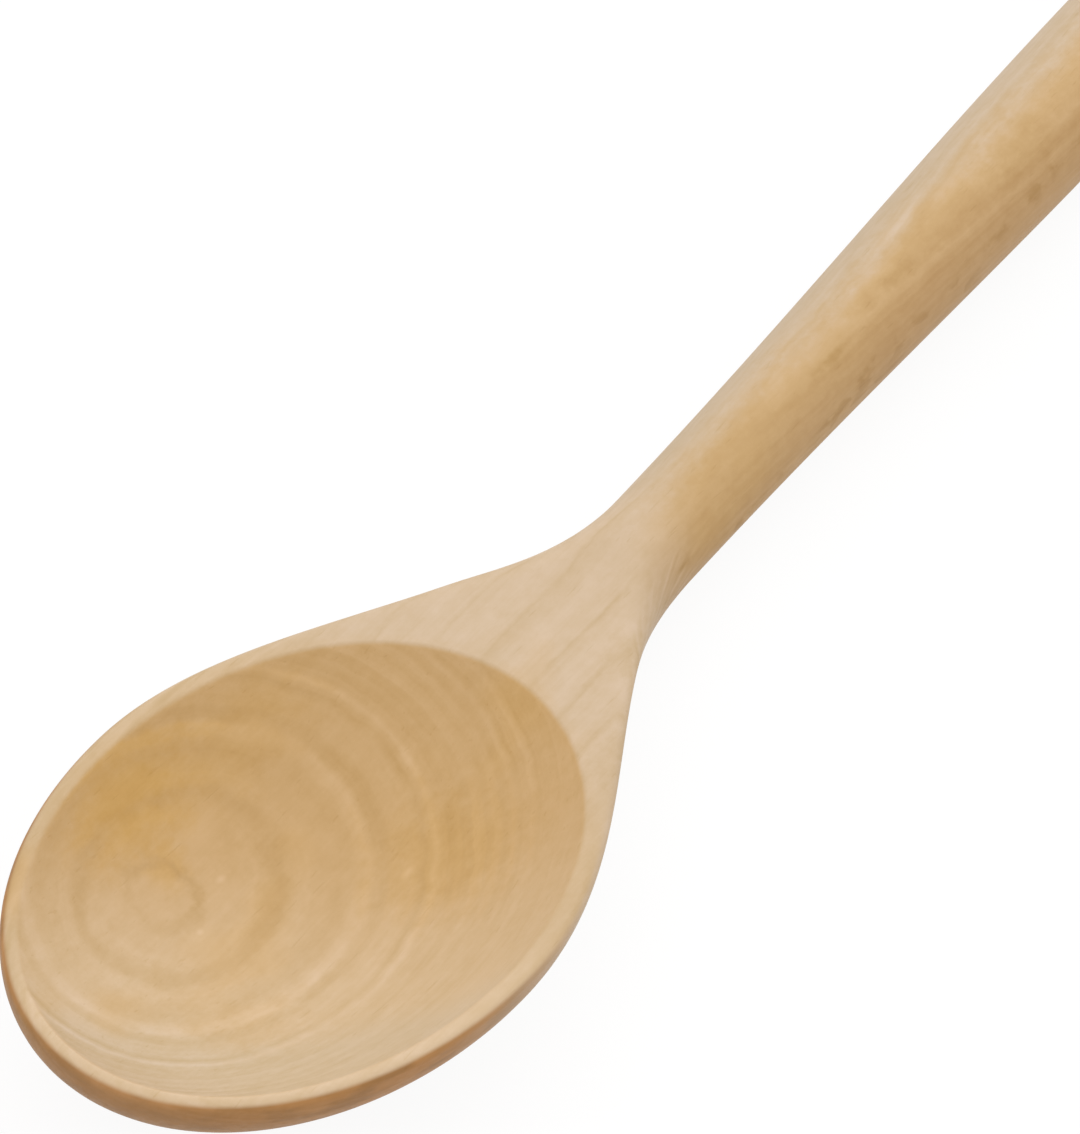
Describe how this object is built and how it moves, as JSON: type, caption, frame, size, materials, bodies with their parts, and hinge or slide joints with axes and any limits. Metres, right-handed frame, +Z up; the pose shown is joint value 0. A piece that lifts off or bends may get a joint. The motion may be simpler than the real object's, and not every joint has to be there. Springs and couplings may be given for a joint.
{
  "type": "wooden spoon",
  "caption": "Large cooking spoon cut from one billet of pale hardwood: oval hollowed bowl, sloping shoulder and a round handle that swells towards a rounded end.",
  "frame": {"origin": "middle of the bounding box, on the surface that the spoon lies on", "axes": "+Z up, +X along the spoon from the bowl's nose to the handle's end, Y across"},
  "size_m": [0.304, 0.064, 0.0225],
  "materials": {
    "spoon_wood": "fine sanded pale hardwood, bare with a slight satin, growth rings showing in the hollow"
  },
  "bodies": {
    "root": {"spoon": "spoon_wood"}
  },
  "joints": []
}
